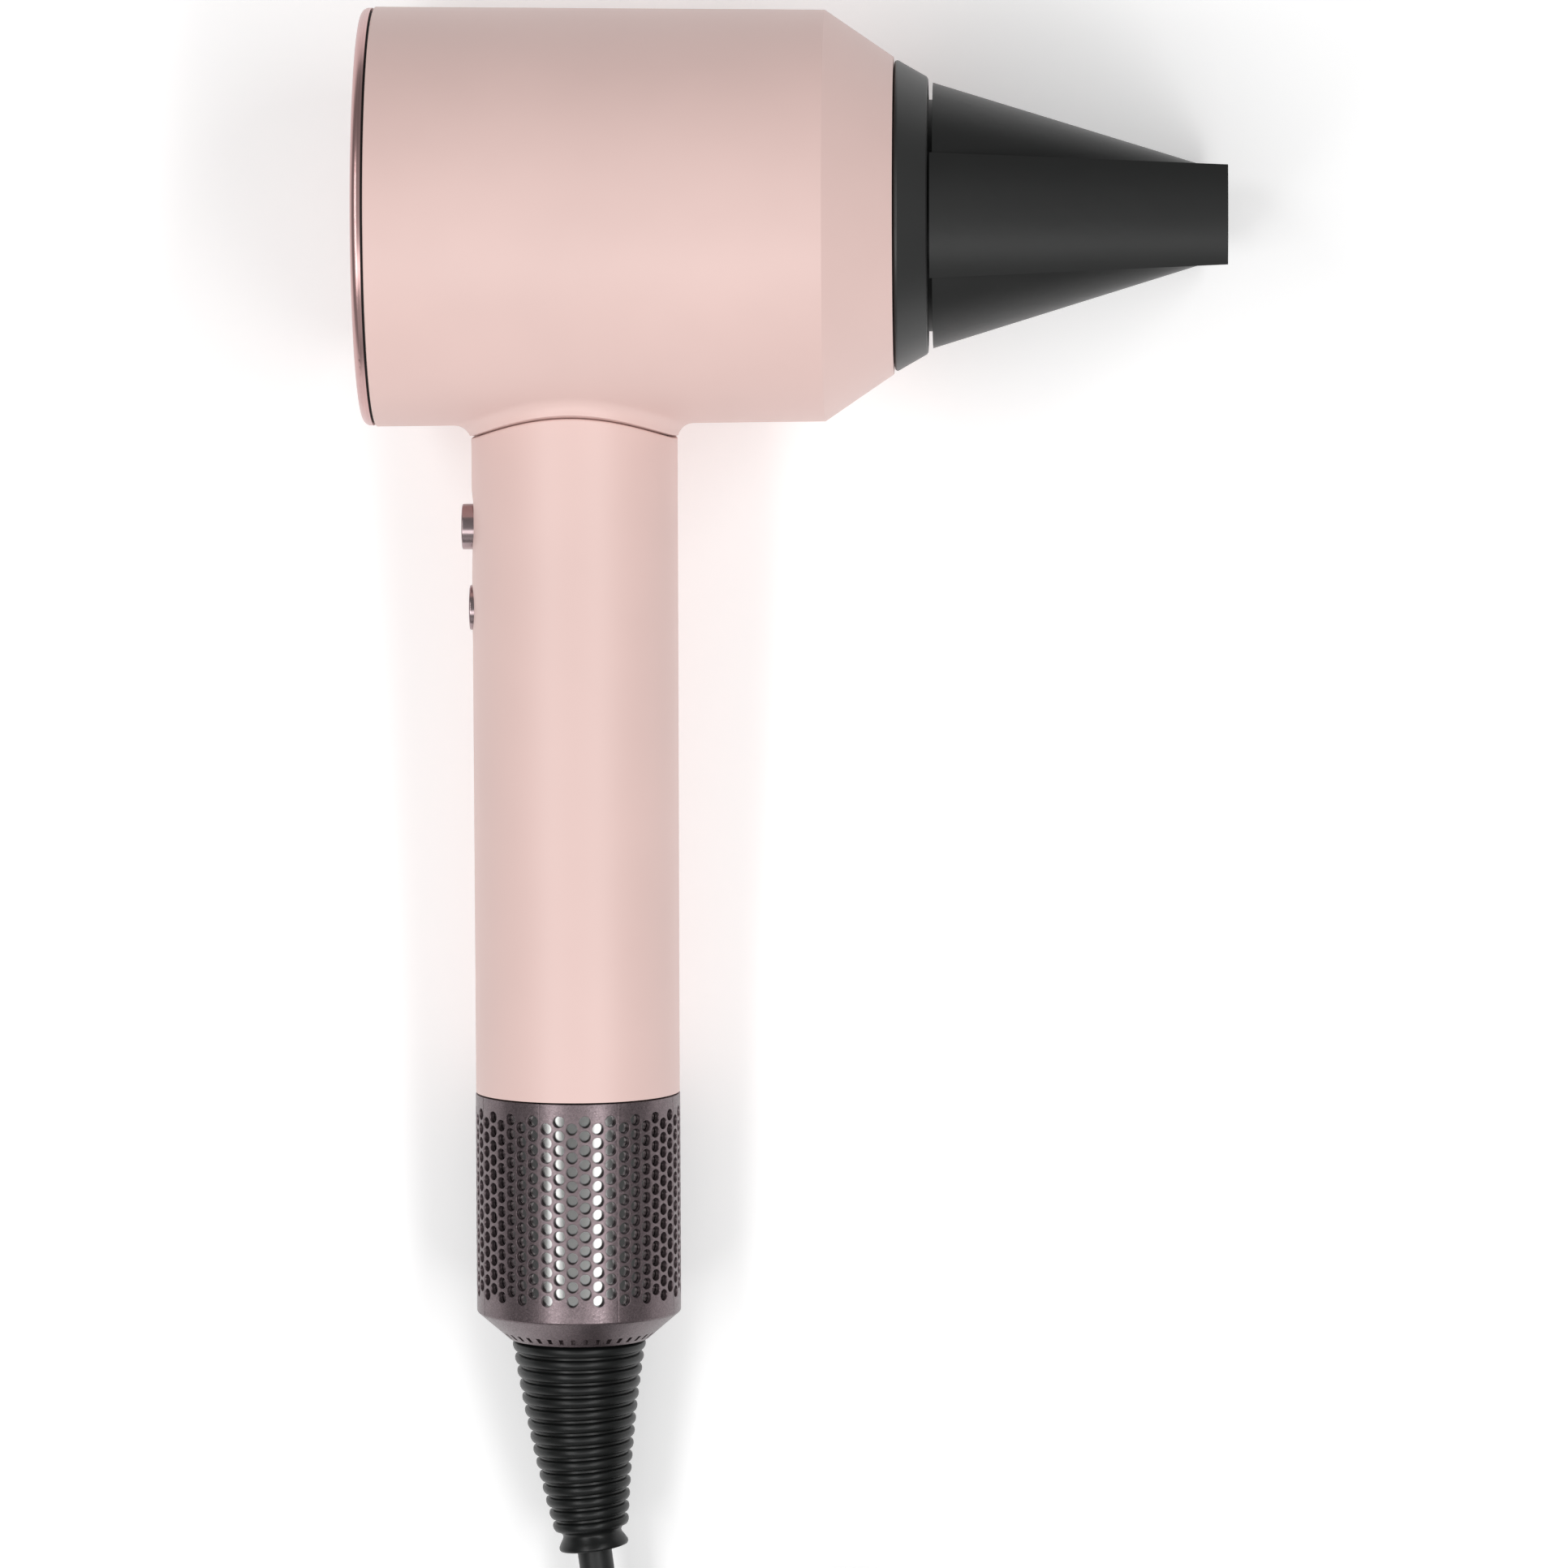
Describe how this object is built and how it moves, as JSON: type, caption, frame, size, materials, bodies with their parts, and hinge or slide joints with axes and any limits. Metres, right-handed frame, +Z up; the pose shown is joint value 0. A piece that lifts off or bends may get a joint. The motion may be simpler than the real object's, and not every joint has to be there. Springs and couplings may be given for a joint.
{
  "type": "hair dryer",
  "caption": "Hand-held hair dryer: pink barrel head with through bore, slim handle with the fan, perforated inlet cage, flat styling nozzle and coiled mains cord.",
  "frame": {"origin": "centre of the dryer's footprint on the surface it lies on, without the cord", "axes": "+X from the head's rear to the nozzle's tip, +Y from the cord end of the handle to the head, +Z up; the dryer lies on its side"},
  "size_m": [0.2144, 0.4325, 0.0794],
  "materials": {
    "pink_satin": "satin soft-touch lacquer on moulded plastic",
    "rose_metal": "anodised rose metal, satin",
    "mauve_metal": "metallic mauve paint, satin",
    "black_satin": "satin black moulding",
    "charcoal_satin": "satin charcoal moulding",
    "black_rubber": "moulded rubber",
    "cord_rubber": "smooth cord sheath",
    "grey_rubber": "soft rubber",
    "mesh_steel": "fine woven wire",
    "steel": "plain steel",
    "magnet_nickel": "nickel plated",
    "mica": "mica board",
    "ribbon_wire": "heating alloy ribbon",
    "copper": "enamelled copper wire",
    "circuit_board": "green circuit board",
    "white_plastic": "plain moulding",
    "grey_plastic": "plain moulding",
    "lamp_clear": "clear light pipe",
    "pin_brass": "nickel plated brass",
    "tie_fabric": "hook-and-loop strap"
  },
  "bodies": {
    "dryer": {"head_shell": "pink_satin", "rear_trim_ring": "rose_metal", "rear_gasket": "black_rubber", "rear_cover": "pink_satin", "light_pipes": "lamp_clear", "button_board": "circuit_board", "heater_board": "circuit_board", "inner_sleeve": "rose_metal", "outlet_ring": "black_satin", "outlet_magnets": "magnet_nickel", "heater_frame": "mica", "heater_ribbons": "ribbon_wire", "thermal_cutout": "steel", "handle_shell": "pink_satin", "switch_carrier": "grey_plastic", "switch_board": "circuit_board", "slide_switch": "steel", "tact_switch": "grey_plastic", "neck_seal": "grey_rubber", "motor_board": "circuit_board", "motor_mount": "grey_rubber", "motor_housing": "grey_plastic", "stator": "steel", "stator_windings": "copper", "shaft_bearing": "steel", "inlet_frame": "black_satin", "cord_clamp": "grey_plastic", "clamp_screws": "steel", "strain_relief": "black_rubber", "cord_lead": "cord_rubber", "cord_coil": "cord_rubber", "cord_tail": "cord_rubber", "cord_tie": "tie_fabric", "plug_body": "black_rubber", "plug_pins": "pin_brass"},
    "collar": {"nozzle_collar": "black_satin", "collar_steel_ring": "steel"},
    "nozzle": {"nozzle_body": "charcoal_satin", "nozzle_retainer": "black_satin", "nozzle_core": "charcoal_satin"},
    "filter": {"filter_cage": "mauve_metal", "filter_mesh": "mesh_steel"},
    "power": {"power_slider": "mauve_metal"},
    "cold": {"cold_button": "mauve_metal"},
    "speed": {"speed_button": "mauve_metal"},
    "heat": {"heat_button": "mauve_metal"},
    "fan": {"impeller": "white_plastic", "motor_shaft": "steel", "rotor_magnet": "magnet_nickel"}
  },
  "joints": [
    {"name": "nozzle_pull", "type": "slide", "parent": "dryer", "child": "collar", "axis": [1, 0.0009, -0.0094], "range_m": [0, 0.03]},
    {"name": "nozzle_swivel", "type": "hinge", "parent": "collar", "child": "nozzle", "pos_m": [0.01825, 0.10717, 0.03879], "axis": [1, 0.0009, -0.0094], "continuous": true},
    {"name": "filter_pull", "type": "slide", "parent": "dryer", "child": "filter", "axis": [0, -0.9954, -0.0954], "range_m": [0, 0.048]},
    {"name": "power_slide", "type": "slide", "parent": "dryer", "child": "power", "axis": [0, 0.9954, 0.0954], "range_m": [0, 0.003]},
    {"name": "cold_press", "type": "slide", "parent": "dryer", "child": "cold", "axis": [1, 0.0009, -0.0094], "range_m": [0, 0.0004], "stiffness_N_per_m": 600},
    {"name": "speed_press", "type": "slide", "parent": "dryer", "child": "speed", "axis": [1, 0.0009, -0.0094], "range_m": [0, 0.0005], "stiffness_N_per_m": 600},
    {"name": "heat_press", "type": "slide", "parent": "dryer", "child": "heat", "axis": [1, 0.0009, -0.0094], "range_m": [0, 0.0005], "stiffness_N_per_m": 600},
    {"name": "fan_spin", "type": "hinge", "parent": "dryer", "child": "fan", "pos_m": [-0.04175, -0.02229, 0.02694], "axis": [0, 0.9954, 0.0954], "continuous": true}
  ]
}
